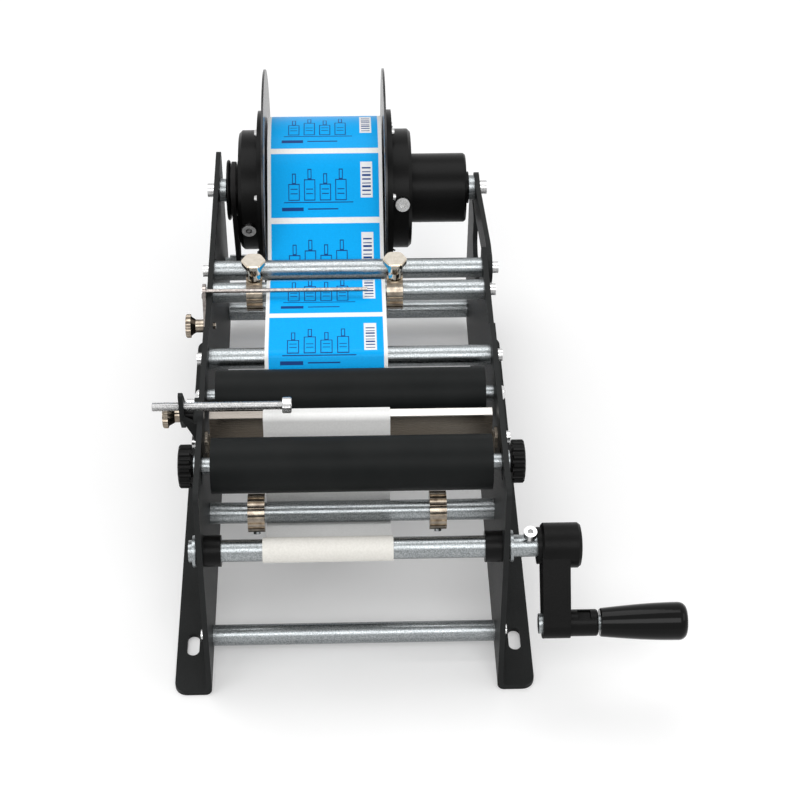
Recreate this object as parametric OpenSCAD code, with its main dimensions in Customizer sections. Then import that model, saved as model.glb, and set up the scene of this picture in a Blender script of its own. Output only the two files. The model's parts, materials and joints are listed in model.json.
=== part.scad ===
// Hand cranked bottle labeling machine as separate pieces in one frame.
// X runs to the crank side, Y to the rear, Z up, lengths in millimetres.

/* [Frame] */
// Thickness of each side plate
plate_t = 3; // [2:0.5:4]
// Height of the front part of the plates
front_h = 141; // [138:0.5:150]
// Height of the rear part of the plates
rear_h = 135; // [134:0.5:138]
// Front edge of the plates ahead of the front tie bar
toe = 33; // [30:1:40]
// How far the front edge leans back
lean = 18; // [10:1:20]
// Radius of the lower rear corners
heel_r = 37; // [20:1:40]
// Outward width of each foot beyond its plate
foot_w = 18; // [16:0.5:24]
// Width of the foot slots
slot_w = 7; // [5:0.5:8]
// Length of the foot slots
slot_len = 16; // [12:1:24]
// Distance between the front and rear foot slots
slot_pitch = 239; // [200:1:245]
// Width of the open notch in the right plate
notch_w = 60; // [40:1:64]
// Floor height of the open notch
notch_z = 86; // [70:1:95]

/* [Rods] */
// Diameter of the tie bars and guide rods
rod_d = 12; // [10:0.5:13]
// Drop of the three upper guide rods below the rear top edge
guide_drop = 9.5; // [8:0.5:13]
// Distance from the rear roller to the front guide rod
rod3_gap = 29; // [26:0.5:34]
// Distance from the front guide rod to the collar rod
rod2_gap = 58; // [50:1:64]
// Distance from the collar rod to the rear guide rod
rod1_gap = 20.5; // [19:0.5:26]
// Height of the lower guide rod
rod4_z = 68.5; // [60:0.5:76]
// Thread diameter of the frame screws
m4 = 4; // [3:0.5:5]

/* [Rollers] */
// Diameter of both rollers
roller_d = 30; // [24:0.5:31]
// Length of both rollers
roller_len = 150; // [130:1:190]
// Gap from each roller end to its side plate
roller_side = 5; // [3:0.5:12]
// Distance between the roller axles
roller_gap = 60.5; // [58:0.5:66]
// Drop of the front roller axle below the front top edge
axle_drop = 11.5; // [10:0.5:15]
// Drop of the rear roller axle below the front one
rear_drop = 6.5; // [2:0.5:8]
// Diameter of the roller axles
axle_d = 6; // [5:0.5:7]
// Travel of the front roller toward the operator
travel_front = 10; // [4:0.5:10]
// Travel of the front roller toward the rear
travel_rear = 6; // [2:0.5:6]
// Diameter of the roller knobs
knob_d = 23.6; // [20:0.2:28]
// Depth of the peel plate's flat top
peel_top = 5.6; // [4:0.2:7]
// Height of the peel plate's front face
peel_face = 30; // [24:1:34]
// Forward lean of the peel plate's front face
peel_lean = 7; // [4:0.5:8]
// Gap from each end of the peel plate's top to its side plate
peel_inset = 2; // [1:0.5:3]

/* [Label web] */
// Width of the label web
web_w = 70; // [40:1:76]
// Distance from the left side plate to the edge of the web
web_side = 31.5; // [29:0.5:40]
// Diameter of the label roll
roll_d = 91; // [70:1:100]
// Diameter of the take-up roll
takeup_d = 13.6; // [12.8:0.1:18]
// Diameter of the roll side discs
disc_d = 150; // [130:1:150]
// Thickness of the roll side discs
disc_t = 1.3; // [1:0.1:2]
// Diameter of the hub flanges
hub_d = 75; // [66:1:78]
// Diameter of the rings that carry the discs
ring_d = 99; // [94:1:110]
// Outer diameter of the roll's board core
core_d = 46; // [44:1:60]
// Diameter of the hub bosses that carry the core
boss_d = 40; // [34:0.5:42]
// Diameter of the brake pulley
pulley_d = 38; // [34:1:44]

/* [Crank] */
// Height of the crank shaft
crank_z = 94; // [88:1:98]
// Diameter of the crank shaft
shaft_d = 12; // [10:0.5:12.5]
// Crank radius
crank_r = 42; // [34:1:60]
// Angle of the crank arm below the horizontal
crank_rest = 46.5; // [0:0.5:90]
// Diameter of the crank boss
crank_boss_d = 24.5; // [22:0.5:28]
// Width of the crank arm along the shaft
arm_w = 14.8; // [10:0.2:16]
// Length of the grip
grip_len = 47; // [40:1:70]
// Largest diameter of the grip
grip_d = 20.6; // [17:0.1:24]

/* [Guides and stop] */
// Diameter of the guide collars
collar_d = 22; // [18:0.5:23]
// Width of the guide collars
collar_w = 9.5; // [7:0.5:10]
// Diameter of the thumb screw heads
thumb_d = 14; // [11:0.5:14]
// Length of the stop screw under its head
stop_len = 70; // [60:1:80]
// Length of the pointer rod
pointer_len = 96; // [60:1:100]
// Sheet thickness of the stop bracket
bracket_t = 2.4; // [2:0.1:3]

/* [Fits] */
// Radial clearance of running fits
run = 0.05; // [0.02:0.01:0.1]
// Radial clearance of fixed fits
snug = 0.02; // [0.01:0.01:0.05]
// Gap between pieces that move past each other
gap = 0.3; // [0.2:0.05:0.5]

/* [Hidden] */
$fn = 64;
half = roller_len / 2 + roller_side;
out = half + plate_t;
black = [0.13, 0.13, 0.14];
steel = [0.72, 0.74, 0.76];
nickel = [0.78, 0.73, 0.64];
paper = [0.93, 0.93, 0.92];
blue = [0.05, 0.5, 0.9];

front_roller_z = front_h - axle_drop;
guide_z = rear_h - guide_drop;
tie_p = [0, 12];
crank_p = [-9.5, crank_z];
front_p = [19.5, front_roller_z];
rear_p = [front_p[0] + roller_gap, front_roller_z - rear_drop];
rod3_p = [rear_p[0] + rod3_gap, guide_z];
rod2_p = [rod3_p[0] + rod2_gap, guide_z];
rod1_p = [rod2_p[0] + rod1_gap, guide_z];
rod4_p = [42, rod4_z];
spool_p = [rod1_p[0] + disc_d / 2 + rod_d / 2 + 3, guide_z - 3.5];
plate_rear = spool_p[0] + 26.5;
heel_p = [plate_rear - 19, 14];
step_y = rod3_p[0] + 10;
anchor_p = [spool_p[0], spool_p[1] - 58];
stop_p = [47, front_h + 6.3];
stop_thumb_p = stop_p + [4.2, -10.4];
pivot_p = [rod2_p[0] - 18, rear_h - 19.5];
handle_p = crank_p + crank_r * [-cos(crank_rest), -sin(crank_rest)];
notch_f = rod1_p[0] + rod_d / 2 + 3;
notch_r = notch_f + notch_w;
slot_x = out + foot_w / 2;
slot_y = [1, 1 + slot_pitch];
foot_end = slot_y[1] + 22;
web_l = web_side - half;
web_r = web_l + web_w;
roll_r = roll_d / 2;
web_t = 0.4;
peel_t = 1.5;
peel_a = [rear_p[0] - roller_d / 2 - 2.1, front_roller_z - 1.5];
peel_b = peel_a - [peel_top, 0];
peel_c = peel_b - [peel_lean, peel_face];
peel_screw = peel_b - [10.8, 7];
strap_r = 9.5;
post_h = spool_p[1] - strap_r - 1.5;
strap_t = 3;
strap_in = half + 0.5;
disc_l = web_l - 1.3;
disc_r = web_r + 1.2;
ring_t = 4;
hub_l = disc_l - disc_t - ring_t;
hub_r = disc_r + disc_t + ring_t;
hub_w = 12;
pulley_x = hub_l - hub_w;
boss_x = hub_r + hub_w;
sleeve_r = rod_d / 2 + 3;
sleeve_end = half - 5;
m5 = 5;
x_min = min(46 - out - stop_len, -out - 16.4 - bracket_t - gap);
x_max = half + 52 + grip_len;
y_min = min(-toe, handle_p[0] - grip_d / 2, handle_p[0] - 8);
y_max = spool_p[0] + disc_d / 2;
shift = [-(x_min + x_max) / 2, -(y_min + y_max) / 2, 0];

function unit(v) = v / norm(v);
function corner_arc(a, b, c, r, n = 8) =
    let (u = unit(a - b), v = unit(c - b), h = acos(u * v) / 2, m = unit(u + v),
        o = b + m * r / sin(h), s = b + u * r / tan(h) - o, e = b + v * r / tan(h) - o,
        a0 = atan2(s[1], s[0]), d = (atan2(e[1], e[0]) - a0 + 540) % 360 - 180)
    [for (i = [0:n]) o + r * [cos(a0 + d * i / n), sin(a0 + d * i / n)]];
function flat2(p) = [p[0], p[1]];
function rounded(p) = [for (i = [0:len(p) - 1])
    each p[i][2] > 0
        ? corner_arc(flat2(p[(i + len(p) - 1) % len(p)]), flat2(p[i]),
            flat2(p[(i + 1) % len(p)]), p[i][2])
        : [flat2(p[i])]];

// Web path as circles to wrap, each with a signed radius: plus is passed underneath.
wraps = [
    [spool_p, -(roll_r + gap + web_t / 2)],
    [rod1_p, rod_d / 2 + 0.1 + web_t / 2],
    [rod2_p, -(rod_d / 2 + 0.1 + web_t / 2)],
    [rod3_p, -(rod_d / 2 + 0.1 + web_t / 2)],
    [rear_p, roller_d / 2 + gap + web_t / 2],
    [peel_a + [0.4, -0.6], -(0.85 + web_t / 2)],
    [peel_b + [2, -2.5], -(3.5 + web_t / 2)],
    [peel_c + [0.6, 0.2], -(0.8 + web_t / 2)],
    [rod4_p, rod_d / 2 + 0.1 + web_t / 2],
    [crank_p, takeup_d / 2 + gap + web_t / 2]];
function heading(i) =
    let (d = wraps[i + 1][0] - wraps[i][0],
        raw = atan2(d[1], d[0]) - asin((wraps[i][1] - wraps[i + 1][1]) / norm(d)))
    raw < 0 ? raw + 360 : raw;
function left_of(t) = [-sin(t), cos(t)];
function wrap_pts(i, side) =
    let (t0 = i == 0 ? heading(0) : heading(i - 1),
        t1 = i == len(wraps) - 1 ? t0 : heading(i),
        n = max(1, ceil(abs(t1 - t0) / 7)))
    [for (k = [0:(t0 == t1 ? 0 : n)])
        wraps[i][0] + (wraps[i][1] + side) * left_of(t0 + (t1 - t0) * k / n)];
web_up = [for (i = [0:len(wraps) - 1]) each wrap_pts(i, web_t / 2)];
web_down = [for (i = [0:len(wraps) - 1]) each wrap_pts(i, -web_t / 2)];

module along_x(x0, x1) {
    translate([x0, 0, 0]) rotate([90, 0, 90]) linear_extrude(x1 - x0) children();
}
module along_y(y0, y1) {
    translate([0, y1, 0]) rotate([90, 0, 0]) linear_extrude(y1 - y0) children();
}
module bar(x0, x1, d, p) {
    translate([x0, p[0], p[1]]) rotate([0, 90, 0]) cylinder(h = x1 - x0, d = d);
}
module turned(p, profile) {
    translate([0, p[0], p[1]]) rotate([0, 90, 0]) rotate_extrude() polygon(profile);
}
module tube(x0, x1, d, bore, p) {
    difference() {
        bar(x0, x1, d, p);
        bar(x0 - 1, x1 + 1, bore, p);
    }
}
module radial(x, p, a) {
    translate([x, p[0], p[1]]) rotate([a, 0, 0]) rotate([0, 0, 90]) children();
}
module both() {
    children();
    mirror([1, 0, 0]) children();
}
// Cap screw along X: head from 0 outward, shank inward.
module cap_screw(d, l) {
    difference() {
        union() {
            rotate([0, 90, 0]) cylinder(h = d, d = 1.75 * d);
            translate([-l, 0, 0]) rotate([0, 90, 0]) cylinder(h = l + 0.5, d = d);
        }
        translate([d * 0.45, 0, 0]) rotate([0, 90, 0]) cylinder(h = d, d = 0.9 * d, $fn = 6);
    }
}
module at(x, p) {
    translate([x, p[0], p[1]]) children();
}
function ribbed(d) = [for (i = [0:47])
    (d / 2 - (i % 2) * 0.5) * [cos(7.5 * i), sin(7.5 * i)]];
function six_sided(d) = rounded([for (a = [30:60:330]) [d / 2 * cos(a), d / 2 * sin(a), 3]]);
// Thumb screw along X: shank, neck, cone and a flat head of the given outline.
module thumb_screw(shank, d, neck, cone, outline) {
    e = neck + cone;
    translate([-shank, 0, 0]) rotate([0, 90, 0]) cylinder(h = shank + 1, d = m4);
    rotate([0, 90, 0]) {
        rotate_extrude() polygon([[0, 0], [d * 0.28, 0], [d * 0.28, neck], [d * 0.42, e],
            [d * 0.42, e + 1], [0, e + 1]]);
        translate([0, 0, e]) linear_extrude(2.4) polygon(outline);
        translate([0, 0, e + 2.2]) linear_extrude(0.5) polygon(outline * 0.96);
        translate([0, 0, e + 2.5]) linear_extrude(0.5) polygon(outline * 0.91);
    }
}
module slot_z(x, y) {
    l = (slot_len - slot_w) / 2;
    for (s = [-l, l]) translate([x, y + s, -1]) cylinder(h = 20, d = slot_w);
    translate([x - slot_w / 2, y - l, -1]) cube([slot_w, 2 * l, 20]);
}

module plate_face(open) {
    rear = open
        ? [[plate_rear, post_h, 5], [notch_r, post_h, 5], [notch_r, notch_z, 9],
            [notch_f, notch_z, 9], [notch_f, rear_h, 2]]
        : [[plate_rear, rear_h, 5]];
    polygon(rounded(concat([[-toe, 0, 0], [plate_rear, 0, heel_r]], rear,
        [[step_y + 6, rear_h, 0], [step_y, front_h, 0], [-toe + lean, front_h, 6]])));
}
module plate_blank(open) {
    intersection() {
        along_x(0, out + foot_w + 1) plate_face(open);
        along_y(-toe, plate_rear) polygon(rounded([[half, 0, plate_t + 1],
            [out + foot_w, 0, 0], [out + foot_w, plate_t, 0], [out, plate_t, 1],
            [out, front_h + 1, 0], [half, front_h + 1, 0]]));
        linear_extrude(front_h + 1) polygon(rounded([[half - 1, -toe, 0],
            [out + foot_w, -toe, 7], [out + foot_w, foot_end, 7], [out + 0.5, foot_end, 0],
            [out + 0.5, plate_rear, 0], [half - 1, plate_rear, 0]]));
    }
}
module hole(d, p) {
    bar(half - 5, out + 5, d, p);
}
module plate(open) {
    difference() {
        plate_blank(open);
        for (p = [tie_p, heel_p, rod1_p, rod2_p, rod3_p, rod4_p, peel_screw]) hole(m4 + 0.4, p);
        hole(shaft_d + 2 + 2 * snug, crank_p);
        hole(axle_d + 2 * snug, rear_p);
        for (t = [-travel_front, travel_rear]) hole(axle_d + 0.2, front_p + [t, 0]);
        translate([half - 5, front_p[0] - travel_front, front_p[1] - axle_d / 2 - 0.1])
            cube([plate_t + 10, travel_front + travel_rear, axle_d + 0.2]);
        for (y = slot_y) slot_z(slot_x, y);
        if (!open) {
            hole(m5 + 0.4, spool_p);
            hole(m5 + 2 * snug, anchor_p);
            hole(m4 + 2 * run, pivot_p);
            hole(m4 + 2 * run, stop_thumb_p);
            for (z = foot_screws) hole(m4 + 2 * snug, [foot_y, z]);
        }
    }
}
module left_side_plate() {
    color(black) mirror([1, 0, 0]) plate(false);
}
module right_side_plate() {
    color(black) plate(true);
}

module cross_rod(p) {
    color(steel) difference() {
        bar(-half, half, rod_d, p);
        for (x = [-half - 1, half - 11.5]) bar(x, x + 12.5, m4 + 2 * snug, p);
    }
}
module front_tie_bar() { cross_rod(tie_p); }
module rear_tie_bar() { cross_rod(heel_p); }
module rear_guide_rod() { cross_rod(rod1_p); }
module collar_rod() { cross_rod(rod2_p); }
module front_guide_rod() { cross_rod(rod3_p); }
module lower_guide_rod() { cross_rod(rod4_p); }
module frame_screws() {
    color(steel) {
        for (p = [tie_p, heel_p, rod2_p, rod3_p, rod4_p])
            both() at(out, p) cap_screw(m4, plate_t + 10);
        at(out + strap_t, rod1_p) cap_screw(m4, plate_t + strap_t + 10);
        mirror([1, 0, 0]) at(out, rod1_p) cap_screw(m4, plate_t + 10);
        both() at(out, peel_screw) cap_screw(m4, plate_t + peel_t - 0.2);
        for (z = foot_screws) mirror([1, 0, 0])
            at(out + bracket_t, [foot_y, z]) cap_screw(m4, bracket_t + plate_t - 0.2);
    }
}

module peel_plate() {
    s = unit(peel_c - peel_b);
    n = [-s[1], s[0]] * peel_t;
    k = (-peel_t - n[1]) / s[1];
    inner_b = peel_b + n + s * k;
    low = peel_b + s * 11;
    color(steel) difference() {
        union() {
            along_x(-half, half) polygon([peel_a, peel_b, peel_c, peel_c + n, inner_b,
                peel_a - [0, peel_t]]);
            both() along_x(half - peel_t, half) polygon(rounded([concat(low + n * 0.5, 0),
                concat(low + s * 8 + n * 0.5, 0), [peel_screw[0] - 4.5, peel_screw[1] - 5, 3],
                [peel_screw[0] - 4.5, peel_screw[1] + 4.5, 3],
                [peel_screw[0] + 4.5, peel_screw[1] + 4.5, 3]]));
        }
        both() translate([half - peel_inset, peel_screw[0] + 5.5, low[1]])
            cube([peel_inset + 1, peel_a[0] - peel_screw[0], peel_face]);
        both() bar(half - 5, half + 1, m4 + 2 * snug, peel_screw);
    }
}

module spool_spindle() {
    color(steel) difference() {
        bar(-half, strap_in, rod_d, spool_p);
        bar(-half - 1, -half + 13, m5 + 2 * snug, spool_p);
        bar(strap_in - 13, strap_in + 1, m5 + 2 * snug, spool_p);
    }
}
module spindle_spacers() {
    color(steel) {
        tube(-half, -sleeve_end - gap, 14.5, rod_d + 2 * snug, spool_p);
        tube(sleeve_end + 1.8 + gap, strap_in, 15.5, rod_d + 2 * snug, spool_p);
    }
}
module spindle_screws() {
    color(steel) {
        mirror([1, 0, 0]) at(out, spool_p) cap_screw(m5, plate_t + 12);
        at(strap_in + strap_t, spool_p) cap_screw(m5, strap_t + 12);
    }
}
module spindle_arm() {
    r = strap_r;
    d = spool_p - rod1_p;
    a = atan2(d[1], d[0]);
    y0 = rod1_p[0] - 12;
    y1 = notch_f + 2;
    y2 = spool_p[0] - 16;
    y3 = spool_p[0] + 12;
    color(black) difference() {
        intersection() {
            linear_extrude(200) polygon([[out, y0], [out, y1], [strap_in, y2], [strap_in, y3],
                [strap_in + strap_t, y3], [strap_in + strap_t, y2], [out + strap_t, y1],
                [out + strap_t, y0]]);
            along_x(half - 5, out + 10) union() {
                translate(rod1_p) circle(r);
                translate(spool_p) circle(r);
                translate(rod1_p) rotate(a) translate([0, -r]) square([norm(d), 2 * r]);
            }
        }
        bar(half - 5, out + 10, m4 + 0.4, rod1_p);
        bar(half - 5, out + 10, m5 + 0.4, spool_p);
    }
}

belt_r = pulley_d / 2 - 3 + gap;
belt_t = 1.6;
belt_x = pulley_x - 4;
function tangent_pts(r1, r2, l) =
    let (b = asin((r1 - r2) / l))
    [[r1 * sin(b), r1 * cos(b)], [l + r2 * sin(b), r2 * cos(b)],
        [l + r2 * sin(b), -r2 * cos(b)], [r1 * sin(b), -r1 * cos(b)]];
module link2d(r1, r2, l) {
    circle(r1);
    translate([l, 0]) circle(r2);
    polygon(tangent_pts(r1, r2, l));
}
module brake_anchor() {
    color(steel) {
        mirror([1, 0, 0]) at(out, anchor_p) cap_screw(m5, out + belt_x - 6.5 + 12);
        for (x = [belt_x - 1.4 - gap - 4, belt_x + 1.4 + gap]) difference() {
            translate([x, anchor_p[0], anchor_p[1]]) rotate([0, 90, 0])
                cylinder(h = 4, d = 9.2, $fn = 6);
            bar(x - 1, x + 5, m5 + 2 * snug, anchor_p);
        }
    }
}
module brake_belt() {
    l = norm(spool_p - anchor_p);
    color(black) along_x(belt_x - 1.4, belt_x + 1.4) translate(spool_p) rotate(-90) difference() {
        link2d(belt_r + belt_t, m5 / 2 + 0.1 + belt_t, l);
        link2d(belt_r, m5 / 2 + 0.1, l);
    }
}

module label_web() {
    n = len(web_down);
    color(paper) along_x(web_l, web_r)
        polygon(concat(web_up, [for (i = [0:n - 1]) web_down[n - 1 - i]]));
}

module rear_roller_axle() {
    color(steel) {
        bar(-out, out, axle_d, rear_p);
        bar(-out - 1.9, out + 1.9, axle_d - 2, rear_p);
    }
}
module rear_roller_spacers() {
    color(steel) both() tube(roller_len / 2 + gap, half, 9, axle_d + 2 * snug, rear_p);
}
module rear_roller_cap_nuts() {
    r = axle_d / 2 + 1.2;
    color(steel) both() difference() {
        turned(rear_p, concat([[0, out], [r, out], [r, out + 1.4]],
            [for (a = [15:15:75]) [r * cos(a), out + 1.4 + 2.8 * sin(a)]], [[0, out + 4.2]]));
        bar(out - 1, out + 2, axle_d - 2 + 2 * snug, rear_p);
    }
}
module crank_bushes() {
    color(black) both() difference() {
        union() {
            bar(half - 9.4, half, shaft_d + 5, crank_p);
            bar(half - 1, out + 1, shaft_d + 2, crank_p);
        }
        bar(half - 12, out + 5, shaft_d + 2 * run, crank_p);
    }
}

ear_x = -out - 6.8;
foot_y = stop_p[0] + 12.7;
foot_screws = [front_h - 8.5 + m4 * 0.95, front_h - 8.5 - m4 * 0.95];
module stop_bracket() {
    t = bracket_t;
    y = stop_p[0] - 5;
    z = front_h;
    color(black) difference() {
        union() {
            along_x(ear_x - t, ear_x) polygon(rounded([[y, z + 18.6, 1], [y + 3, z + 18.6, 1.5],
                [y + 16.5, z - 2.5, 3], [y + 16.5, z - 10, 2], [y + 5, z - 10, 2], [y, z, 0]]));
            along_y(y + 0.2, y + t) polygon([[ear_x - t / 2, z + 2.5], [ear_x - t / 2, z + 0.5],
                [-out - t / 2, z - 15], [-out - t / 2, z - 2]]);
            along_x(-out - t, -out) polygon(rounded([[y, z - 1.5, 1], [y, z - 15.5, 1],
                [y + 22, z - 15.5, 3], [y + 22, z - 1.5, 3]]));
        }
        bar(ear_x - 5, ear_x + 2, m5 + 2 * run, stop_p);
        bar(ear_x - 5, -out + 1, m4 + 2 * run, stop_thumb_p);
        for (h = foot_screws) bar(-out - 5, -out + 1, m4 + 2 * snug, [foot_y, h]);
    }
}
module stop_spacer() {
    color(black) tube(ear_x, -out - bracket_t, 8, m4 + 2 * run, stop_thumb_p);
}
module stop_thumb_screw() {
    x = -ear_x + bracket_t + gap;
    color(nickel) mirror([1, 0, 0]) at(x, stop_thumb_p)
        thumb_screw(x - half, thumb_d, 3, 3.6, ribbed(thumb_d));
}
module stop_screw() {
    color(steel) at(-out + 46, stop_p) cap_screw(m5, stop_len);
}
module pointer() {
    l = 22.3;
    a = 74.4;
    color(steel) difference() {
        union() {
            along_x(-out - 2 - gap, -out - gap) translate(pivot_p) rotate(a)
                polygon(rounded([[-8, -4.5, 3], [l + 4, -4.5, 3.5], [l + 4, 4.5, 3.5],
                    [-8, 4.5, 3]]));
            bar(-out - 1 - gap, -out - 2 - gap + pointer_len, 2.5,
                pivot_p + l * [cos(a), sin(a)]);
        }
        bar(-out - 5, -out + 1, m4 + 2 * run, pivot_p);
    }
}
module pointer_thumb_screw() {
    color(nickel) mirror([1, 0, 0]) at(out + 2 + 2 * gap, pivot_p)
        thumb_screw(plate_t + 2 + 2 * gap + 1.5, thumb_d, 4.6, 2.8, ribbed(thumb_d));
}

module spool_sleeve() {
    color(black) difference() {
        union() {
            bar(-sleeve_end, sleeve_end, 2 * sleeve_r, spool_p);
            bar(sleeve_end, sleeve_end + 1.8, 20, spool_p);
        }
        bar(-half, half, rod_d + 2 * run, spool_p);
    }
}
module brake_pulley() {
    x = pulley_x;
    r = pulley_d / 2;
    color(black) difference() {
        turned(spool_p, [[0, x], [r, x], [r, x - 1], [r - 0.7, x - 1.6], [r - 3, x - 2],
            [r - 3, x - 6], [r - 0.7, x - 6.4], [r, x - 7], [r, x - 7.8], [r - 0.8, x - 8.3],
            [sleeve_r + 0.8, x - 8.3], [sleeve_r + 0.8, x - 9], [0, x - 9]]);
        bar(-half, half, 2 * (sleeve_r + snug), spool_p);
    }
}
module hub_bore() {
    bar(-half, half, 2 * (sleeve_r + snug), spool_p);
}
module left_hub() {
    color(black) difference() {
        union() {
            turned(spool_p, [[0, pulley_x], [hub_d / 2 - 2, pulley_x], [hub_d / 2, pulley_x + 2],
                [hub_d / 2, hub_l], [ring_d / 2, hub_l], [ring_d / 2, hub_l + ring_t],
                [0, hub_l + ring_t]]);
            bar(hub_l, disc_l + 13, boss_d, spool_p);
        }
        hub_bore();
        hub_screw_hole(pulley_x + 6, set_l);
    }
}
module right_hub() {
    color(black) difference() {
        union() {
            turned(spool_p, [[0, hub_r - ring_t], [ring_d / 2, hub_r - ring_t],
                [ring_d / 2, hub_r], [hub_d / 2, hub_r], [hub_d / 2, boss_x - 2],
                [hub_d / 2 - 2, boss_x], [21.75, boss_x], [21.75, sleeve_end - 1.5],
                [20.75, sleeve_end - gap], [0, sleeve_end - gap]]);
            bar(disc_r - 13, hub_r, boss_d, spool_p);
        }
        hub_bore();
        hub_screw_hole(boss_x - 6, set_r);
    }
}
set_l = 183;
set_r = 158;
module hub_screw_hole(x, a) {
    radial(x, spool_p, a) {
        rotate([0, 90, 0]) cylinder(h = hub_d, d = m5 + 2 * snug);
        translate([hub_d / 2 - 3, 0, 0]) rotate([0, 90, 0])
            cylinder(h = 10, d = 1.75 * m5 + 0.6);
    }
}
module side_disc(x) {
    difference() {
        bar(x, x + disc_t, disc_d, spool_p);
        bar(x - 1, x + disc_t + 1, boss_d + 2 * snug, spool_p);
    }
}
module left_disc() { color(black) side_disc(disc_l - disc_t); }
module right_disc() { color(black) side_disc(disc_r); }
module hub_screws() {
    r = (hub_d + ring_d) / 4;
    color(steel) {
        for (s = [[pulley_x + 6, set_l], [boss_x - 6, set_r]])
            radial(s[0], spool_p, s[1]) translate([hub_d / 2 - 3, 0, 0])
                cap_screw(m5, hub_d / 2 - 3 - sleeve_r - 0.1);
        for (a = [30:60:330]) {
            at(hub_r, spool_p + r * [cos(a), sin(a)]) rotate([0, 90, 0])
                cylinder(h = 1.7, d1 = 5.4, d2 = 3.6);
            at(hub_l - 1.7, spool_p + r * [cos(a), sin(a)]) rotate([0, 90, 0])
                cylinder(h = 1.7, d1 = 3.6, d2 = 5.4);
        }
    }
}
module roll_core() {
    color([0.72, 0.58, 0.42]) tube(web_l, web_r, core_d, boss_d + 0.4, spool_p);
}
module label_roll() {
    color(blue) tube(web_l, web_r, roll_d, core_d + 2 * snug, spool_p);
}

screw_x = half + 14.5;
hub_x = half + 18.6;
arm_x = half + 21;
grip_x = arm_x + arm_w + 16.2;
module crank_shaft() {
    color(steel) difference() {
        bar(-out - 5, hub_x + 20, shaft_d, crank_p);
        radial(screw_x, crank_p, 100) rotate([0, 90, 0]) translate([0, 0, 1])
            cylinder(h = 20, d = m4 + 2 * snug);
    }
}
module shaft_clips() {
    color(steel) both() difference() {
        bar(out + 1 + gap, out + 2.5 + gap, shaft_d + 5, crank_p);
        bar(out, out + 5, shaft_d + 2 * snug, crank_p);
        translate([out, crank_p[0] - 1.5, crank_p[1] - 20]) cube([5, 3, 20]);
    }
}
module crank_screw() {
    color(steel) radial(screw_x, crank_p, 100) translate([10, 0, 0]) cap_screw(m4, 8.5);
}
module crank_arm() {
    r = crank_boss_d / 2;
    e = arm_x + arm_w + 6.8;
    color(black) difference() {
        union() {
            turned(crank_p, [[0, hub_x], [r - 2.25, hub_x], [r - 2.25, arm_x], [r - 1, arm_x],
                [r, arm_x + 1], [r, e - 2.1], [r - 1.2, e - 0.6], [r - 4, e], [0, e]]);
            along_x(arm_x, arm_x + arm_w) translate(crank_p) rotate(180 + crank_rest)
                polygon(rounded([[0, -10.6, 0], [crank_r + 8, -8, 7], [crank_r + 8, 8, 7],
                    [0, 10.6, 0]]));
        }
        bar(hub_x - 1, hub_x + 20.2, shaft_d + 2 * snug, crank_p);
        bar(arm_x - 1, arm_x + arm_w + 1, 8 + 2 * snug, handle_p);
    }
}
module handle_axle() {
    color(steel) {
        bar(arm_x - 2, arm_x, 11, handle_p);
        bar(arm_x - 1, grip_x + grip_len - 8, 8, handle_p);
    }
}
module handle_neck() {
    x = arm_x + arm_w;
    color(black) difference() {
        turned(handle_p, [[0, x], [7.25, x], [7.25, x + 14.2], [6.6, x + 15], [0, x + 15]]);
        bar(x - 1, x + 20, 8 + 2 * snug, handle_p);
        translate([x + 4, handle_p[0] - 3.5, handle_p[1] + 5.2]) cube([7, 7, 5]);
    }
}
module handle_grip() {
    x = grip_x;
    d = grip_d / 2;
    l = grip_len;
    color(black) difference() {
        turned(handle_p, concat([[0, x], [d * 0.7, x], [d * 0.75, x + 0.7]],
            [for (i = [0:10]) [d * (0.76 + 0.24 * sin(9 * i)), x + 1.5 + (l - 6) * i / 10]],
            [for (a = [15:15:75]) [d - 4 + 4 * cos(a), x + l - 4.5 + 4.5 * sin(a)]],
            [[0, x + l]]));
        bar(x - 1, x + l - 7, 8 + 2 * run, handle_p);
    }
}
module take_up_roll() {
    color(paper) tube(web_l, web_r, takeup_d, shaft_d + 2 * snug, crank_p);
}

module roller(p) {
    color(black) tube(-roller_len / 2, roller_len / 2, roller_d, roller_d - 8, p);
}
module roller_bushes(p) {
    color(steel) both() tube(roller_len / 2 - 12, roller_len / 2, roller_d - 8 - 2 * snug,
        axle_d + 2 * run, p);
}
module rear_roller() { roller(rear_p); }
module rear_roller_bushes() { roller_bushes(rear_p); }
module front_roller() { roller(front_p); }
module front_roller_bushes() { roller_bushes(front_p); }
module front_roller_axle() {
    color(steel) bar(-out - 7.5, out + 7.5, axle_d, front_p);
}
module front_roller_spacers() {
    color(steel) both() {
        tube(roller_len / 2 + gap, half - 0.1, 9, axle_d + 2 * snug, front_p);
        tube(out + 0.1, out + 1.3, 12, axle_d + 2 * snug, front_p);
    }
}
module knob() {
    x = out + 1.3 + gap;
    r = knob_d / 2;
    color(black) difference() {
        turned(front_p, [[0, x], [6, x], [6, x + 0.8], [r - 0.6, x + 0.8], [r, x + 1.4],
            [r, x + 6.6], [r - 0.8, x + 7.4], [r - 4, x + 8], [0, x + 8.3]]);
        for (a = [0:22.5:345]) bar(out, x + 12, 3.2, front_p + (r + 0.3) * [cos(a), sin(a)]);
        bar(out - 1, out + 7.7, axle_d + 2 * run, front_p);
    }
}
module right_knob() { knob(); }
module left_knob() { mirror([1, 0, 0]) knob(); }

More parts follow.
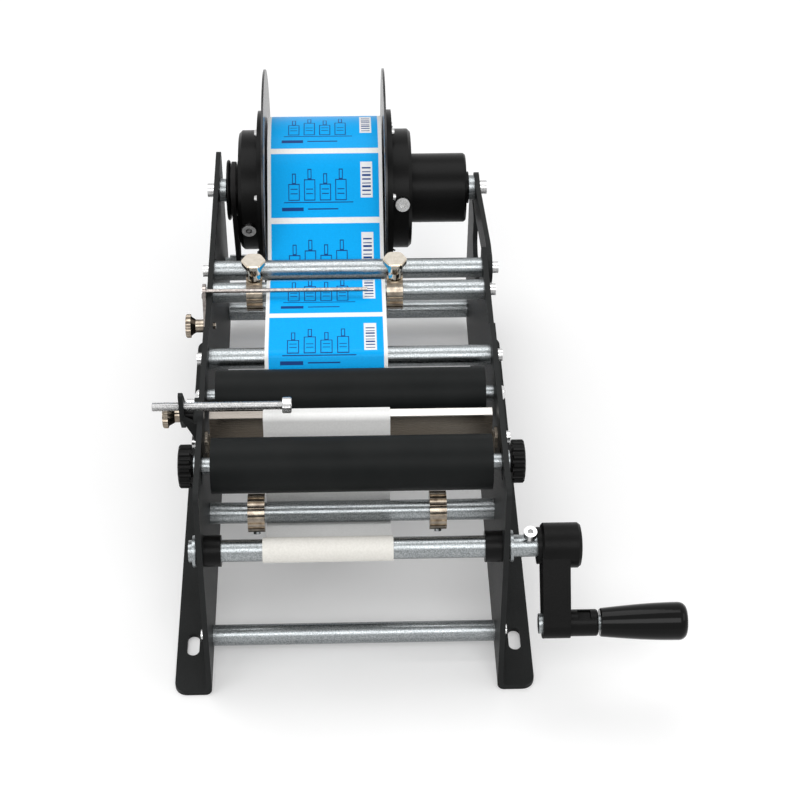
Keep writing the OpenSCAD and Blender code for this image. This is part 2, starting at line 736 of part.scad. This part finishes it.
module collar(x, p, a) {
    color(nickel) difference() {
        bar(x, x + collar_w, collar_d, p);
        bar(x - 1, x + collar_w + 1, rod_d + 2 * run, p);
        for (i = [0:17]) radial(x, p, a + 10 + 20 * i)
            translate([collar_d / 2 - 1, -collar_w - 1, -0.9]) cube([3, collar_w + 2, 1.8]);
        radial(x + collar_w / 2, p, a) rotate([0, 90, 0])
            cylinder(h = collar_d, d = m4 + 2 * snug);
    }
}

rear_l = web_l - 2.3 - collar_w;
rear_r = web_r + 0.8;
front_l = web_l - 0.8 - collar_w;
front_r = web_r + 22;
module rear_left_collar() { collar(rear_l, rod2_p, 90); }
module rear_right_collar() { collar(rear_r, rod2_p, 90); }
module front_left_collar() { collar(front_l, rod4_p, 235); }
module front_right_collar() { collar(front_r, rod4_p, 235); }
module collar_thumb(x) {
    color(nickel) radial(x + collar_w / 2, rod2_p, 90) translate([collar_d / 2 + gap, 0, 0])
        thumb_screw(collar_d / 2 + gap - rod_d / 2 - run - 0.1, thumb_d, 4, 6.3,
            six_sided(thumb_d + 1));
}
module rear_left_thumb_screw() { collar_thumb(rear_l); }
module rear_right_thumb_screw() { collar_thumb(rear_r); }
module grub(x) {
    color(steel) radial(x + collar_w / 2, rod4_p, 235) difference() {
        translate([rod_d / 2 + run + 0.1, 0, 0]) rotate([0, 90, 0])
            cylinder(h = collar_d / 2 - rod_d / 2 + 1, d = m4);
        translate([collar_d / 2 - 0.5, 0, 0]) rotate([0, 90, 0]) cylinder(h = 4, d = 2.3, $fn = 6);
    }
}
module front_left_collar_screw() { grub(front_l); }
module front_right_collar_screw() { grub(front_r); }

translate(shift) {
    left_side_plate();
    right_side_plate();
    front_tie_bar();
    rear_tie_bar();
    rear_guide_rod();
    collar_rod();
    front_guide_rod();
    lower_guide_rod();
    frame_screws();
    peel_plate();
    spool_spindle();
    spindle_spacers();
    spindle_screws();
    spindle_arm();
    brake_anchor();
    brake_belt();
    label_web();
    rear_roller_axle();
    rear_roller_spacers();
    rear_roller_cap_nuts();
    crank_bushes();
    stop_bracket();
    stop_spacer();
    stop_thumb_screw();
    stop_screw();
    pointer();
    pointer_thumb_screw();
    spool_sleeve();
    brake_pulley();
    left_hub();
    left_disc();
    right_hub();
    right_disc();
    hub_screws();
    roll_core();
    label_roll();
    crank_shaft();
    shaft_clips();
    crank_screw();
    crank_arm();
    handle_axle();
    handle_neck();
    handle_grip();
    take_up_roll();
    rear_roller();
    rear_roller_bushes();
    front_roller();
    front_roller_bushes();
    front_roller_axle();
    front_roller_spacers();
    left_knob();
    right_knob();
    rear_left_collar();
    rear_right_collar();
    front_left_collar();
    front_right_collar();
    rear_left_thumb_screw();
    rear_right_thumb_screw();
    front_left_collar_screw();
    front_right_collar_screw();
}
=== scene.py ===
import json
import math

import bpy
from mathutils import Matrix, Vector


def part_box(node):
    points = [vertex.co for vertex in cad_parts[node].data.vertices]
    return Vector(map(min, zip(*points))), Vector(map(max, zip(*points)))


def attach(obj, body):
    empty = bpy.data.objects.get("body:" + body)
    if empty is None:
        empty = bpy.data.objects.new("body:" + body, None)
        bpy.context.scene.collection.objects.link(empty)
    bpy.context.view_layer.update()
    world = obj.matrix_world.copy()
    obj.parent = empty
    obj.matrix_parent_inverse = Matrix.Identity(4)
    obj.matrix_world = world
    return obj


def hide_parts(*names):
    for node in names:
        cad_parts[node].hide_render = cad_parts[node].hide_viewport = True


MM = 0.001

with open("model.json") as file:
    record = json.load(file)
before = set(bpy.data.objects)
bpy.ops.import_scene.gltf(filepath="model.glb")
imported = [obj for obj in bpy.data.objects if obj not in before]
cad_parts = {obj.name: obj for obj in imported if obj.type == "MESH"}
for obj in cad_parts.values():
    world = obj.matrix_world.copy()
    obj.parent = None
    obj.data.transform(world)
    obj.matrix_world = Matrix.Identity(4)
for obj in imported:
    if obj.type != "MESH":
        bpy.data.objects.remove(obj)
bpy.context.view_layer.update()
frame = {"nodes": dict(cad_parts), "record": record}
nodes = frame["nodes"]
scene = bpy.context.scene


def middle(node):
    lo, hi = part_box(node)
    return (lo + hi) / 2


# The machine's own frame has x = 0 midway between the plates and y = 0 on the front tie bar.
shift = Vector((middle("front_tie_bar").x, middle("front_tie_bar").y, 0))

# Most of a noise texture's values lie between these, for colour and for roughness.
COLOR_ENDS = (0.35, 0.65)
ROUGH_ENDS = (0.3, 0.7)


class Tree:
    """A material's node tree with short calls for the nodes used here."""

    def __init__(self, name):
        self.mat = bpy.data.materials.new(name)
        self.mat.use_nodes = True
        self.nodes = self.mat.node_tree.nodes
        self.links = self.mat.node_tree.links
        self.bsdf = self.nodes["Principled BSDF"]
        self.coords = self.nodes.new("ShaderNodeTexCoord")

    def link(self, source, target):
        self.links.new(source, target)

    def fill(self, socket, value):
        if hasattr(value, "is_output"):
            self.link(value, socket)
        else:
            socket.default_value = value

    def scaled(self, scale):
        node = self.nodes.new("ShaderNodeMapping")
        node.inputs["Scale"].default_value = scale
        self.link(self.coords.outputs["Object"], node.inputs["Vector"])
        return node.outputs["Vector"]

    def noise(self, scale, detail, vector=None):
        node = self.nodes.new("ShaderNodeTexNoise")
        node.inputs["Scale"].default_value = scale
        node.inputs["Detail"].default_value = detail
        self.link(vector or self.coords.outputs["Object"], node.inputs["Vector"])
        return node.outputs["Fac"]

    def ramp(self, fac, low, high):
        node = self.nodes.new("ShaderNodeValToRGB")
        stops = node.color_ramp.elements
        for stop, place, color in zip(stops, COLOR_ENDS, (low, high)):
            stop.position = place
            stop.color = (*color, 1)
        self.link(fac, node.inputs["Fac"])
        return node.outputs["Color"]

    def map_range(self, value, source, target):
        node = self.nodes.new("ShaderNodeMapRange")
        node.inputs["From Min"].default_value, node.inputs["From Max"].default_value = source
        node.inputs["To Min"].default_value, node.inputs["To Max"].default_value = target
        self.link(value, node.inputs["Value"])
        return node.outputs["Result"]

    def math(self, op, a, b):
        node = self.nodes.new("ShaderNodeMath")
        node.operation = op
        self.fill(node.inputs[0], a)
        self.fill(node.inputs[1], b)
        return node.outputs["Value"]

    def mix(self, fac, a, b):
        node = self.nodes.new("ShaderNodeMix")
        node.data_type = "RGBA"
        self.fill(node.inputs["Factor"], fac)
        self.fill(node.inputs["A"], a)
        self.fill(node.inputs["B"], b)
        return node.outputs["Result"]

    def bump(self, height, strength, distance):
        node = self.nodes.new("ShaderNodeBump")
        node.inputs["Strength"].default_value = strength
        node.inputs["Distance"].default_value = distance
        self.link(height, node.inputs["Height"])
        self.link(node.outputs["Normal"], self.bsdf.inputs["Normal"])

    def surface(self, color, rough, metal=0.0):
        self.fill(self.bsdf.inputs["Base Color"], color)
        self.fill(self.bsdf.inputs["Roughness"], rough)
        self.bsdf.inputs["Metallic"].default_value = metal

    def gloss(self, level):
        self.bsdf.inputs["Specular IOR Level"].default_value = level


def coated(name, low, high, rough, grain, depth, strength, gloss):
    """Paint, moulded plastic or rubber: slow colour drift with a fine surface grain."""
    t = Tree(name)
    drift = t.noise(scale=38, detail=5)
    fine = t.noise(grain, detail=3)
    t.surface(t.ramp(drift, low, high), t.map_range(fine, ROUGH_ENDS, rough))
    t.gloss(gloss)
    t.bump(fine, strength, depth)
    return t.mat


def plated(name, low, high, rough, stretch, mottle):
    """Plated or brushed metal: mottled tone with fine drawn lines along X."""
    t = Tree(name)
    drawn = t.noise(1.0, 4, t.scaled(stretch))
    spots = t.noise(mottle, detail=6)
    t.surface(t.ramp(spots, low, high), t.map_range(drawn, ROUGH_ENDS, rough), metal=1.0)
    t.bump(drawn, strength=0.12, distance=0.1 * MM)
    return t.mat


def sheet(name, box, face, lit_flat):
    """Brushed bent sheet with painted light: the face below the bend is darker as painted shade, the
    flat top is painted lighter to the right.
    """
    t = Tree(name)
    lo, hi = box
    skin = 0.6 * MM
    drawn = t.noise(1.0, 3, t.scaled((25, 5200, 5200)))
    slow = t.noise(1.0, 2, t.scaled((9, 60, 30)))
    split = t.nodes.new("ShaderNodeSeparateXYZ")
    t.link(t.coords.outputs["Object"], split.inputs["Vector"])
    across = t.math("DIVIDE", t.math("SUBTRACT", split.outputs["X"], lo.x), hi.x - lo.x)
    top = t.math("GREATER_THAN", split.outputs["Z"], hi.z - skin)
    # Painted light and shade: the face takes the dark painted-shade ramp, the flat top a ramp painted
    # lighter towards +X.
    color = t.mix(top, t.ramp(slow, *face), t.ramp(across, *lit_flat))
    t.surface(color, t.map_range(drawn, ROUGH_ENDS, (0.22, 0.34)), metal=1.0)
    t.bump(drawn, strength=0.08, distance=0.06 * MM)
    return t.mat


def paper(name, low, high):
    """Uncoated paper or board with a fine fibre."""
    t = Tree(name)
    fibre = t.noise(scale=900, detail=4)
    t.surface(t.ramp(fibre, low, high), t.map_range(fibre, ROUGH_ENDS, (0.5, 0.62)))
    t.gloss(0.3)
    t.bump(fibre, strength=0.06, distance=0.04 * MM)
    return t.mat


POWDER = coated("powder_black", (0.009, 0.010, 0.010), (0.013, 0.014, 0.014), rough=(0.42, 0.56),
                grain=1500, depth=0.25 * MM, strength=0.5, gloss=0.13)
PLASTIC = coated("plastic_black", (0.003, 0.003, 0.003), (0.005, 0.005, 0.005), rough=(0.26, 0.38),
                 grain=1900, depth=0.12 * MM, strength=0.35, gloss=0.09)
CAST = coated("cast_black", (0.003, 0.003, 0.003), (0.005, 0.005, 0.005), rough=(0.32, 0.46),
              grain=1100, depth=0.2 * MM, strength=0.35, gloss=0.09)
RUBBER = coated("roller_black", (0.005, 0.006, 0.006), (0.008, 0.009, 0.009), rough=(0.42, 0.52),
                grain=2400, depth=0.1 * MM, strength=0.35, gloss=0.09)
STRAP = coated("strap_black", (0.008, 0.008, 0.008), (0.016, 0.015, 0.015), rough=(0.5, 0.7),
               grain=2600, depth=0.3 * MM, strength=0.35, gloss=0.15)
GRIP = coated("grip_black", (0.002, 0.002, 0.002), (0.003, 0.003, 0.003), rough=(0.10, 0.16),
              grain=300, depth=0.03 * MM, strength=0.1, gloss=0.13)
DISC = coated("disc_black", (0.008, 0.008, 0.009), (0.012, 0.012, 0.013), rough=(0.2, 0.3),
              grain=700, depth=0.02 * MM, strength=0.2, gloss=0.3)

DRAWN_BAR = (60, 2600, 2600)
# Zinc plate with painted shade: the base is darkened to stand in for dark surroundings in the rods'
# reflections.
SHADED_ZINC = plated("zinc_steel_shaded", (0.19, 0.205, 0.21), (0.36, 0.38, 0.39), rough=(0.22, 0.40),
              stretch=DRAWN_BAR, mottle=1300)
BRIGHT = plated("polished_steel", (0.62, 0.62, 0.62), (0.70, 0.70, 0.70), rough=(0.12, 0.2),
                stretch=DRAWN_BAR, mottle=500)
# Steel wire with painted shade: darkened so that the pointer stands out against the bright rods.
SHADED_WIRE = plated("pointer_steel", (0.24, 0.21, 0.20), (0.36, 0.33, 0.31), rough=(0.2, 0.3),
              stretch=DRAWN_BAR, mottle=500)
SCREW = plated("screw_steel", (0.50, 0.50, 0.50), (0.62, 0.62, 0.62), rough=(0.2, 0.3),
               stretch=(900, 900, 900), mottle=700)
# A painted-shade copy of the nickel plating, darker than the bright nickel of the rear thumb screw
# heads.
SHADED_NICKEL = plated("nickel_shaded", (0.18, 0.15, 0.12), (0.31, 0.27, 0.22), rough=(0.14, 0.24),
                stretch=(300, 1500, 1500), mottle=300)
THUMB = plated("nickel_head", (0.70, 0.64, 0.55), (0.77, 0.71, 0.62), rough=(0.1, 0.18),
               stretch=(500, 500, 500), mottle=300)
# The peel plate: painted shade on its front face, a painted light gradient along its top.
STAINLESS = sheet("stainless_sheet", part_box("peel_plate"),
                  face=((0.11, 0.09, 0.07), (0.18, 0.16, 0.135)),
                  lit_flat=((0.32, 0.29, 0.26), (0.76, 0.73, 0.69)))
LINER = paper("liner_white", (0.85, 0.85, 0.84), (0.90, 0.90, 0.89))
CREAM = paper("liner_cream", (0.76, 0.74, 0.69), (0.82, 0.80, 0.75))
BOARD = paper("core_board", (0.38, 0.27, 0.17), (0.50, 0.37, 0.24))

BY_SLOT = {
    "powder_black": POWDER, "plastic_black": PLASTIC, "cast_black": CAST, "roller_black": RUBBER,
    "strap": STRAP, "grip_black": GRIP, "zinc": SHADED_ZINC, "nickel": SHADED_NICKEL, "stainless": STAINLESS,
    "liner": LINER, "label": LINER, "core": BOARD,
}
BY_NODE = {
    "left_disc": DISC, "right_disc": DISC, "take_up_roll": CREAM, "frame_screws": SCREW,
    "spindle_screws": SCREW, "hub_screws": SCREW, "crank_screw": SCREW, "pointer": SHADED_WIRE,
    "rear_roller_cap_nuts": BRIGHT, "rear_left_thumb_screw": THUMB, "rear_right_thumb_screw": THUMB,
}


def dress(obj, material):
    obj.data.materials.clear()
    obj.data.materials.append(material)


for part in frame["record"]["subparts"]:
    node_name = part["node"]
    dress(nodes[node_name], BY_NODE.get(node_name, BY_SLOT[part["material_slot"]]))


def label_print():
    """Generic printed label: four plain bottles on a shelf in thin navy line, and a tally block.

    All places are shares of the label: u runs across the web, v from its leading to its rear edge.
    """
    t = Tree("label_print")
    split = t.nodes.new("ShaderNodeSeparateXYZ")
    t.link(t.coords.outputs["UV"], split.inputs["Vector"])
    u, v = split.outputs["X"], split.outputs["Y"]
    line_u, line_v = 0.008, 0.016

    def block(u0, u1, v0, v1):
        across = t.math("MULTIPLY", t.math("GREATER_THAN", u, u0), t.math("LESS_THAN", u, u1))
        along = t.math("MULTIPLY", t.math("GREATER_THAN", v, v0), t.math("LESS_THAN", v, v1))
        return t.math("MULTIPLY", across, along)

    def join(masks):
        total = masks[0]
        for mask in masks[1:]:
            total = t.math("MAXIMUM", total, mask)
        return total

    def outline(u0, u1, v0, v1):
        inner = block(u0 + line_u, u1 - line_u, v0 + line_v, v1 - line_v)
        return t.math("SUBTRACT", block(u0, u1, v0, v1), inner)

    def bottle(u0, shoulder):
        foot, width, neck = 0.26, 0.105, 0.16
        body = outline(u0, u0 + width, foot, shoulder)
        spout = outline(u0 + 0.034, u0 + 0.071, shoulder, shoulder + neck)
        bands = [block(u0 + 0.02, u0 + 0.085, v0, v0 + 0.015) for v0 in (0.36, 0.43)]
        return [body, spout] + bands

    def tally(i):
        v0 = 0.34 + 0.058 * i
        return block(0.845, 0.925, v0, v0 + 0.015 + 0.008 * (i % 3))

    fibre = t.noise(scale=1200, detail=3)
    blue = t.ramp(fibre, (0.0, 0.38, 0.87), (0.0, 0.42, 0.92))
    ink = (0.006, 0.05, 0.22, 1)
    white = (0.82, 0.83, 0.84, 1)
    panel = block(0.83, 0.94, 0.30, 0.86)
    lines = [tally(i) for i in range(8)]
    for i in range(4):
        lines += bottle(0.16 + 0.145 * i, 0.52 + 0.07 * (i % 2))
    shelf = block(0.12, 0.76, 0.225, 0.24)
    head = block(0.10, 0.30, 0.10, 0.155)
    rule = block(0.34, 0.62, 0.12, 0.14)
    color = t.mix(panel, blue, white)
    color = t.mix(join(lines + [shelf, head, rule]), color, ink)
    t.surface(color, t.map_range(fibre, ROUGH_ENDS, (0.3, 0.4)))
    t.gloss(0.1)
    t.bump(fibre, strength=0.05, distance=0.03 * MM)
    return t.mat


LABEL = label_print()

# The web's path as in the solids: circles to wrap, each with a signed radius, plus is passed underneath.
WEB = 0.4 * MM
RUN_GAP = 0.3 * MM
ROD_GAP = 0.1 * MM
EDGE_R = 0.85 * MM
EDGE_IN, EDGE_DOWN = 0.4 * MM, 0.6 * MM
TURN_STEP = 0.05
SAME_POINT = 1e-7


def centre(node):
    m = middle(node)
    return Vector((m.y, m.z))


def radius(node):
    lo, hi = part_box(node)
    return (hi.z - lo.z) / 2


rod = radius("rear_guide_rod") + ROD_GAP + WEB / 2
peel_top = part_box("peel_plate")[1]
WRAPS = [
    (centre("spool_spindle"), -(radius("label_roll") + RUN_GAP + WEB / 2)),
    (centre("rear_guide_rod"), rod),
    (centre("collar_rod"), -rod),
    (centre("front_guide_rod"), -rod),
    (centre("rear_roller"), radius("rear_roller") + RUN_GAP + WEB / 2),
    (Vector((peel_top.y + EDGE_IN, peel_top.z - EDGE_DOWN)), -(EDGE_R + WEB / 2)),
]


def heading(i):
    """Angle of the straight run from wrap i to the next one, seen along X."""
    d = WRAPS[i + 1][0] - WRAPS[i][0]
    a = math.atan2(d.y, d.x) - math.asin((WRAPS[i][1] - WRAPS[i + 1][1]) / d.length)
    return a if a > 0 else a + 2 * math.pi


def left_of(a):
    return Vector((-math.sin(a), math.cos(a)))


def web_path():
    """Samples along the web from the roll to the peel edge: length, point, left normal."""
    raw = []
    for i, (c, r) in enumerate(WRAPS):
        a0 = heading(max(i - 1, 0))
        a1 = heading(min(i, len(WRAPS) - 2))
        count = max(1, math.ceil(abs(a1 - a0) / TURN_STEP))
        for k in range(count + 1):
            n = left_of(a0 + (a1 - a0) * k / count)
            raw.append((c + r * n, n))
    s, path = 0.0, [(0.0, *raw[0])]
    for (p0, _), (p1, n1) in zip(raw, raw[1:]):
        s += (p1 - p0).length
        if s > path[-1][0] + SAME_POINT:
            path.append((s, p1, n1))
    return path


PATH = web_path()


def at_length(s):
    """Point and left normal of the web at the length s from the roll."""
    for (s0, p0, n0), (s1, p1, n1) in zip(PATH, PATH[1:]):
        if s <= s1:
            k = (s - s0) / (s1 - s0)
            return p0.lerp(p1, k), n0.lerp(n1, k).normalized()
    return PATH[-1][1], PATH[-1][2]


PITCH = 44.7 * MM
LABEL_LEN = 40.9 * MM
FIRST = -9.1 * MM
EDGE = 2.2 * MM
LABEL_LOW, LABEL_HIGH = 0.01 * MM, 0.07 * MM
SHORTEST = 2 * MM
SAMPLE = 1.2 * MM
OVERLAP = 1.0 * MM
CORNER_U = (0.0, 1.0, 1.0, 0.0)
web_lo, web_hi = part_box("label_web")
label_x = (web_lo.x + EDGE, web_hi.x - EDGE)
hub = centre("spool_spindle")
roll_r = radius("label_roll")
leave = PATH[0][1] - hub
leave_angle = math.atan2(leave.y, leave.x)


def strip(name, samples, span, body):
    """A thin closed label along (point, outward normal) samples; span is its share of the print."""
    verts, faces, maps = [], [], []
    last = len(samples) - 1
    x0, x1 = label_x
    rows = [span[0] + (span[1] - span[0]) * i / last for i in range(last + 1)]
    for p, n in samples:
        a, b = p + n * LABEL_LOW, p + n * LABEL_HIGH
        verts += [(x0, a.x, a.y), (x1, a.x, a.y), (x1, b.x, b.y), (x0, b.x, b.y)]
    for i in range(last):
        v0, v1 = rows[i], rows[i + 1]
        for k in range(4):
            j = (k + 1) % 4
            faces.append((4 * i + k, 4 * i + j, 4 * i + 4 + j, 4 * i + 4 + k))
            u0, u1 = CORNER_U[k], CORNER_U[j]
            maps.append([(u0, v0), (u1, v0), (u1, v1), (u0, v1)])
    faces += [(3, 2, 1, 0), tuple(4 * last + k for k in range(4))]
    maps += [[(0, 1)] * 4, [(0, 0)] * 4]
    mesh = bpy.data.meshes.new(name)
    mesh.from_pydata(verts, [], faces)
    layer = mesh.uv_layers.new(name="UVMap")
    for poly, uv in zip(mesh.polygons, maps):
        for loop, value in zip(poly.loop_indices, uv):
            layer.data[loop].uv = value
    obj = bpy.data.objects.new(name, mesh)
    scene.collection.objects.link(obj)
    dress(obj, LABEL)
    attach(obj, body)


def on_web(s):
    """Point and outward normal on the web's printed face."""
    p, n = at_length(s)
    return p - n * WEB / 2, -n


def on_roll(s):
    """Negative lengths run back over the roll from the point where the web leaves it."""
    a = leave_angle + s / roll_r
    n = Vector((math.cos(a), math.sin(a)))
    return hub + n * roll_r, n


def stick(name, start, low, high, place, body):
    """The part of the label that begins at start which lies between the lengths low and high."""
    s0, s1 = max(start, low), min(start + LABEL_LEN, high)
    if s1 - s0 < SHORTEST:
        return
    steps = max(2, int((s1 - s0) / SAMPLE))
    samples = [place(s0 + (s1 - s0) * k / steps) for k in range(steps + 1)]
    strip(name, samples, (1 - (s0 - start) / LABEL_LEN, 1 - (s1 - start) / LABEL_LEN), body)


END = PATH[-1][0]
ROLL_GIRTH = 2 * math.pi * roll_r
for k in range(math.ceil((END - FIRST) / PITCH)):
    stick(f"web_label_{k}", FIRST + k * PITCH, 0.0, END, on_web, "frame")
for k in range(int(ROLL_GIRTH / PITCH)):
    stick(f"roll_label_{k}", FIRST - k * PITCH, -ROLL_GIRTH, OVERLAP, on_roll, "spool")


def threaded(name, node):
    """The stop screw with a rolled thread and a knurled socket head, in place of the plain solid."""
    lo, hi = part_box(node)
    mid = (lo + hi) / 2
    head_r = (hi.z - lo.z) / 2
    head, chamfer, rim, rib = 5.0 * MM, 0.3 * MM, 0.6 * MM, 0.15 * MM
    socket_r, socket_depth = 2.25 * MM, 2.7 * MM
    crest, root, pitch = 2.5 * MM, 2.05 * MM, 0.8 * MM
    tip_lift, tip_slope = 0.1 * MM, 0.8
    sides, per_turn = 32, 8
    neck_x = hi.x - head
    length = neck_x - lo.x

    def thread(x):
        ring = []
        for k in range(sides):
            phase = (k / sides + (x - lo.x) / pitch) % 1.0
            r = root + (crest - root) * (1 - abs(2 * phase - 1))
            ring.append((x, min(r, root + (x - lo.x) * tip_slope + tip_lift), k))
        return ring

    def plain(x, r, ribs=0.0):
        return [(x, r - ribs * (k % 2), k) for k in range(sides)]

    steps = int(length / pitch * per_turn)
    rings = [thread(lo.x + length * i / steps) for i in range(steps + 1)]
    rings += [plain(neck_x, head_r - chamfer), plain(neck_x + chamfer, head_r, rib),
              plain(hi.x - rim, head_r, rib), plain(hi.x, head_r - rim),
              plain(hi.x, socket_r), plain(hi.x - socket_depth, socket_r)]
    verts, faces = [], []
    for ring in rings:
        for x, r, k in ring:
            a = 2 * math.pi * k / sides
            verts.append((x, mid.y + r * math.cos(a), mid.z + r * math.sin(a)))
    for i in range(len(rings) - 1):
        for k in range(sides):
            j = (k + 1) % sides
            faces.append((i * sides + k, i * sides + j, (i + 1) * sides + j, (i + 1) * sides + k))
    faces.append(tuple(range(sides))[::-1])
    faces.append(tuple((len(rings) - 1) * sides + k for k in range(sides)))
    mesh = bpy.data.meshes.new(name)
    mesh.from_pydata(verts, [], faces)
    obj = bpy.data.objects.new(name, mesh)
    scene.collection.objects.link(obj)
    dress(obj, SCREW)
    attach(obj, "stop_rod")
    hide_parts(node)


threaded("stop_screw_threaded", "stop_screw")

# Floor, light and camera, in metres.
REACH = 6.0
FLOOR_DROP = 0.3 * MM
GLOW_SPAN, GLOW_LEVELS = (0.5, 2.5), (0.22, 0.75)
SKY_LIGHT, SKY_SEEN = 0.42, 1.0
floor_mesh = bpy.data.meshes.new("floor")
floor_mesh.from_pydata([(-REACH, -REACH, 0), (REACH, -REACH, 0), (REACH, REACH, 0),
                        (-REACH, REACH, 0)], [], [(0, 1, 2, 3)])
floor = bpy.data.objects.new("floor", floor_mesh)
floor.location.z = -FLOOR_DROP
scene.collection.objects.link(floor)


def seen_rays(tree):
    """1 for rays that show the background: camera, glossy and transmission."""
    path = tree.nodes.new("ShaderNodeLightPath")
    total = path.outputs["Is Camera Ray"]
    for ray in ("Is Glossy Ray", "Is Transmission Ray"):
        node = tree.nodes.new("ShaderNodeMath")
        node.operation = "MAXIMUM"
        tree.links.new(total, node.inputs[0])
        tree.links.new(path.outputs[ray], node.inputs[1])
        total = node.outputs["Value"]
    return total


# The floor's own glow rises with the distance from the machine, and leaves the shadow near it.
ground = Tree("floor_pale")
ground.surface((0.82, 0.82, 0.82, 1), 0.9)
ground.gloss(0.0)
ground.bsdf.inputs["Emission Color"].default_value = (1, 1, 1, 1)
away = ground.nodes.new("ShaderNodeVectorMath")
away.operation = "LENGTH"
ground.link(ground.coords.outputs["Object"], away.inputs[0])
glow = ground.map_range(away.outputs["Value"], GLOW_SPAN, GLOW_LEVELS)
ground.link(ground.math("MULTIPLY", seen_rays(ground.mat.node_tree), glow),
            ground.bsdf.inputs["Emission Strength"])
floor.data.materials.append(ground.mat)

world = bpy.data.worlds.new("studio")
scene.world = world
world.use_nodes = True
sky = world.node_tree.nodes["Background"]
sky.inputs["Color"].default_value = (1, 1, 1, 1)
level = world.node_tree.nodes.new("ShaderNodeMapRange")
level.inputs["To Min"].default_value = SKY_LIGHT
level.inputs["To Max"].default_value = SKY_SEEN
world.node_tree.links.new(seen_rays(world.node_tree), level.inputs["Value"])
world.node_tree.links.new(level.outputs["Result"], sky.inputs["Strength"])


def lamp(name, place, target, size, watts):
    """A rectangular area light at place that faces target."""
    data = bpy.data.lights.new(name, "AREA")
    data.shape = "RECTANGLE"
    data.size, data.size_y = size
    data.energy = watts
    obj = bpy.data.objects.new(name, data)
    scene.collection.objects.link(obj)
    obj.location = place
    obj.rotation_euler = (Vector(target) - Vector(place)).to_track_quat("-Z", "Y").to_euler()


lamp("overhead", (-0.2, 0.4, 1.45), (0, 0, 0.05), size=(1.2, 1.0), watts=10)
lamp("front", (0.1, -1.1, 1.3), (0, -0.05, 0.1), size=(1.0, 0.7), watts=8)
lamp("front_left", (-1.1, -0.9, 0.9), (0, -0.05, 0.08), size=(0.9, 0.9), watts=4)
lamp("right", (1.2, -0.3, 0.9), (0, 0, 0.08), size=(0.8, 0.8), watts=3)

# The camera that was fitted to the photo, placed in the machine's own frame.
FOCAL_PX = 1900
IMAGE_PX = 800
SENSOR = 36
EYE = Vector((-2.9, -694.6, 854.4)) * MM
TILT, YAW, ROLL = (math.radians(a) for a in (43.51, -2.26, 0.70))
camera = bpy.data.cameras.new("camera")
camera.sensor_width = SENSOR
camera.lens = FOCAL_PX / IMAGE_PX * SENSOR
camera.clip_start = 0.01
eye = bpy.data.objects.new("camera", camera)
scene.collection.objects.link(eye)
turn = Matrix.Rotation(YAW, 3, "Z")
forward = turn @ Vector((0, math.cos(TILT), -math.sin(TILT)))
upward = turn @ Vector((0, math.sin(TILT), math.cos(TILT)))
across = turn @ Vector((1, 0, 0))
right = math.cos(ROLL) * across + math.sin(ROLL) * upward
top = math.cos(ROLL) * upward - math.sin(ROLL) * across
pose = Matrix((right, top, -forward)).transposed().to_4x4()
pose.translation = EYE + shift
eye.matrix_world = pose
scene.camera = eye
scene.view_settings.view_transform = "Standard"
